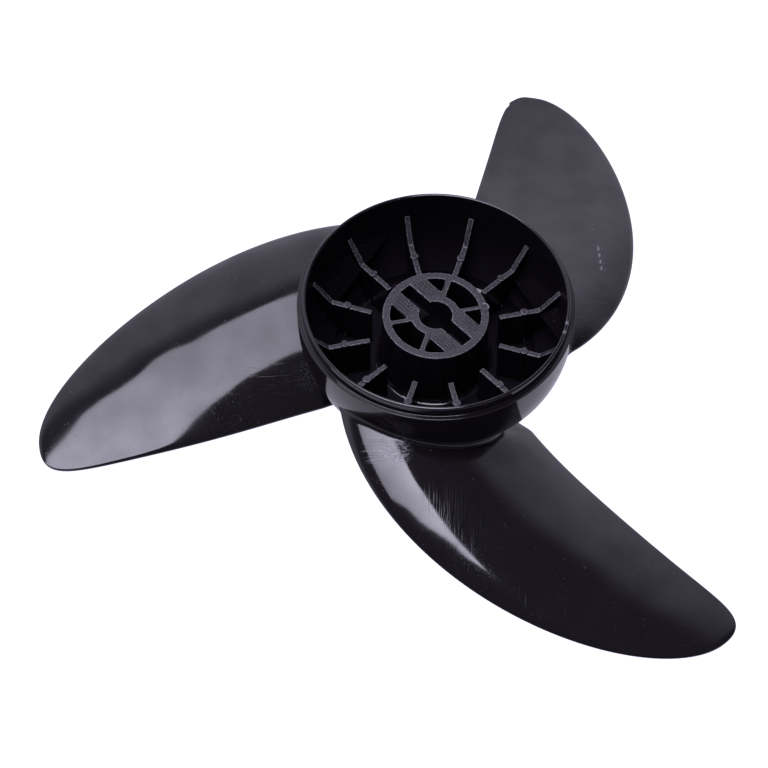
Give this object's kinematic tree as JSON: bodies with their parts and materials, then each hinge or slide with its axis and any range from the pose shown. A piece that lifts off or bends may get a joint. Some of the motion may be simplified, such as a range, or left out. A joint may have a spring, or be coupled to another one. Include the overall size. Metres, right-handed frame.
{
  "type": "boat propeller",
  "caption": "Moulded plastic propeller for an electric outboard motor: swept blades on a bowl-shaped hub, ribbed inside, with a shaft bore and a drive-pin slot.",
  "frame": {"origin": "centre of mass, on the shaft axis, 29.6 mm below the top of the hub's lip", "axes": "+Z along the shaft toward the open motor side of the hub, +X along the drive-pin slot"},
  "size_m": [0.216, 0.2342, 0.052],
  "materials": {
    "black_nylon": "glossy moulded black glass-filled nylon"
  },
  "bodies": {
    "root": {"propeller": "black_nylon"}
  },
  "joints": []
}
